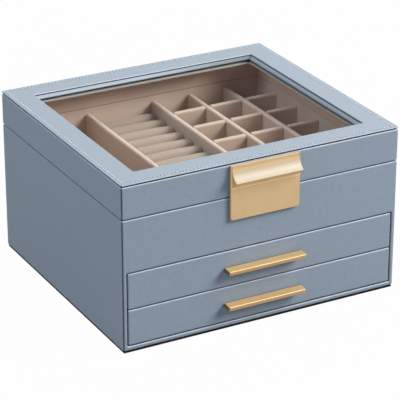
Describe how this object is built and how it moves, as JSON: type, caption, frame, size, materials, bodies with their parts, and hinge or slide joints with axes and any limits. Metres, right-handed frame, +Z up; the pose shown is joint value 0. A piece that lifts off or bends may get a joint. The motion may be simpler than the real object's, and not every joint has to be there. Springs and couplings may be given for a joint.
{
  "type": "tiered jewelry box",
  "caption": "Covered jewelry box with a fitted velvet tray under a hinged glass-topped lid with a clasp plate, over two shallow drawers with bar handles.",
  "frame": {"origin": "on the floor under the middle of the case, on the underside of the base pad", "axes": "+X to the right of the box as seen from its front, +Y towards its back, +Z up; the drawers face -Y"},
  "size_m": [0.235, 0.2257, 0.135],
  "materials": {
    "leatherette": "fine-grained blue-grey leatherette, satin",
    "velvet": "short-pile beige velvet",
    "board": "board covered in plain blue-grey paper",
    "gold": "satin gold plating",
    "glass": "clear float glass",
    "felt": "thin black felt",
    "steel": "bright plated steel"
  },
  "bodies": {
    "case": {"base_pad": "felt", "bottom_panel": "board", "left_side_panel": "leatherette", "right_side_panel": "leatherette", "back_panel": "leatherette", "front_frame": "leatherette", "drawer_shelf": "board", "tray_floor_board": "board", "clasp_magnet": "steel", "tray_lining": "velvet", "tray_divider_left": "velvet", "tray_divider_middle": "velvet", "grid_divider_long_1": "velvet", "grid_divider_long_2": "velvet", "grid_divider_cross_1": "velvet", "grid_divider_cross_2": "velvet", "grid_divider_cross_3": "velvet", "grid_divider_cross_4": "velvet", "grid_divider_cross_5": "velvet", "ring_roll_01": "velvet", "ring_roll_02": "velvet", "ring_roll_03": "velvet", "ring_roll_04": "velvet", "ring_roll_05": "velvet", "ring_roll_06": "velvet", "ring_roll_07": "velvet", "ring_roll_08": "velvet", "ring_roll_09": "velvet", "ring_roll_10": "velvet", "ring_roll_11": "velvet", "ring_roll_12": "velvet", "ring_roll_13": "velvet", "hinge_case_leaf_left": "gold", "hinge_case_leaf_right": "gold", "hinge_pin_left": "steel", "hinge_pin_right": "steel"},
    "lid": {"lid_top_frame": "leatherette", "lid_front_wall": "leatherette", "lid_back_wall": "leatherette", "lid_left_wall": "leatherette", "lid_right_wall": "leatherette", "glass_pane": "glass", "lid_lining": "velvet", "clasp_plate": "gold", "hinge_lid_leaf_left": "gold", "hinge_lid_leaf_right": "gold"},
    "upper_drawer": {"upper_drawer_front": "leatherette", "upper_drawer_left_side": "board", "upper_drawer_right_side": "board", "upper_drawer_back": "board", "upper_drawer_floor": "board", "upper_drawer_lining": "velvet", "upper_drawer_handle": "gold"},
    "lower_drawer": {"lower_drawer_front": "leatherette", "lower_drawer_left_side": "board", "lower_drawer_right_side": "board", "lower_drawer_back": "board", "lower_drawer_floor": "board", "lower_drawer_lining": "velvet", "lower_drawer_handle": "gold"}
  },
  "joints": [
    {"name": "lid_hinge", "type": "hinge", "parent": "case", "child": "lid", "pos_m": [0, 0.1085, 0.10735], "axis": [-1, 0, 0], "range_deg": [0, 95]},
    {"name": "upper_drawer_slide", "type": "slide", "parent": "case", "child": "upper_drawer", "axis": [0, -1, 0], "range_m": [0, 0.15]},
    {"name": "lower_drawer_slide", "type": "slide", "parent": "case", "child": "lower_drawer", "axis": [0, -1, 0], "range_m": [0, 0.15]}
  ]
}
